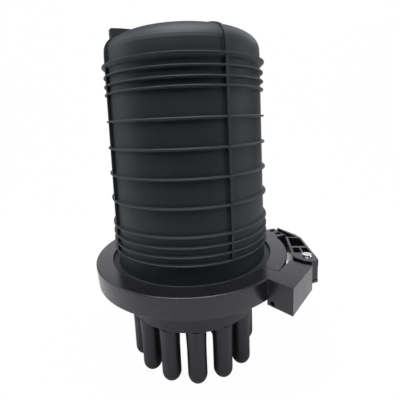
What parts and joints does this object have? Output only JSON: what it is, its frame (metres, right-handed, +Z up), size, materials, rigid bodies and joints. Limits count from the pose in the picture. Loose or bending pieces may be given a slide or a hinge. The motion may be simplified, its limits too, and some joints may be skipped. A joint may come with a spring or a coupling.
{
  "type": "dome splice closure",
  "caption": "Upright dome fibre splice closure: ribbed dome clamped to a base with round and oval cable ports, by a hinged ring with a side latch.",
  "frame": {"origin": "on the axis of dome, clamp and base, halfway up the skirt where the hanging hoop grips", "axes": "+Z up the axis to the dome's cap, +X to the side that carries the latch, +Y to the side that carries the clamp's hinge"},
  "size_m": [0.2612, 0.2344, 0.3898],
  "materials": {
    "dome_plastic": "fine matte moulded",
    "base_plastic": "satin moulded",
    "clamp_plastic": "semi-gloss moulded, glass filled",
    "seal_rubber": "matte",
    "bright_steel": "bright turned or zinc plated",
    "stud_brass": "turned",
    "grey_plastic": "moulded",
    "tray_plastic": "moulded"
  },
  "bodies": {
    "closure": {"dome_shell": "dome_plastic", "seal_ring": "seal_rubber", "base_body": "base_plastic", "clamp_rear": "clamp_plastic", "clamp_hinge_pin": "bright_steel", "earth_stud": "stud_brass", "earth_nuts": "stud_brass", "earth_washers": "bright_steel", "frame_bracket": "bright_steel", "frame_screws": "bright_steel", "tray_rack": "grey_plastic", "splice_tray_1": "tray_plastic", "splice_tray_2": "tray_plastic", "splice_tray_3": "tray_plastic", "splice_tray_4": "tray_plastic", "splice_tray_5": "tray_plastic", "splice_tray_6": "tray_plastic", "tray_cover": "tray_plastic", "tray_pins": "bright_steel", "tray_strap": "seal_rubber", "slack_basket": "grey_plastic", "basket_screws": "bright_steel", "anchor_plate": "bright_steel", "anchor_clamps": "bright_steel", "anchor_screws": "bright_steel"},
    "clamp_half": {"clamp_front": "clamp_plastic", "latch_pin": "bright_steel", "latch_pin_clip": "bright_steel"},
    "latch": {"latch_lever": "clamp_plastic"}
  },
  "joints": [
    {"name": "clamp_open", "type": "hinge", "parent": "closure", "child": "clamp_half", "pos_m": [-0.0918, 0.08065, 0.032], "axis": [0, 0, -1], "range_deg": [0, 33]},
    {"name": "lever_swing", "type": "hinge", "parent": "clamp_half", "child": "latch", "pos_m": [0.13042, -0.04821, 0.032], "axis": [0, 0, -1], "range_deg": [0, 99]}
  ],
  "couplings": [
    {"joint": "lever_swing", "follows": "clamp_open", "ratio": 3}
  ]
}
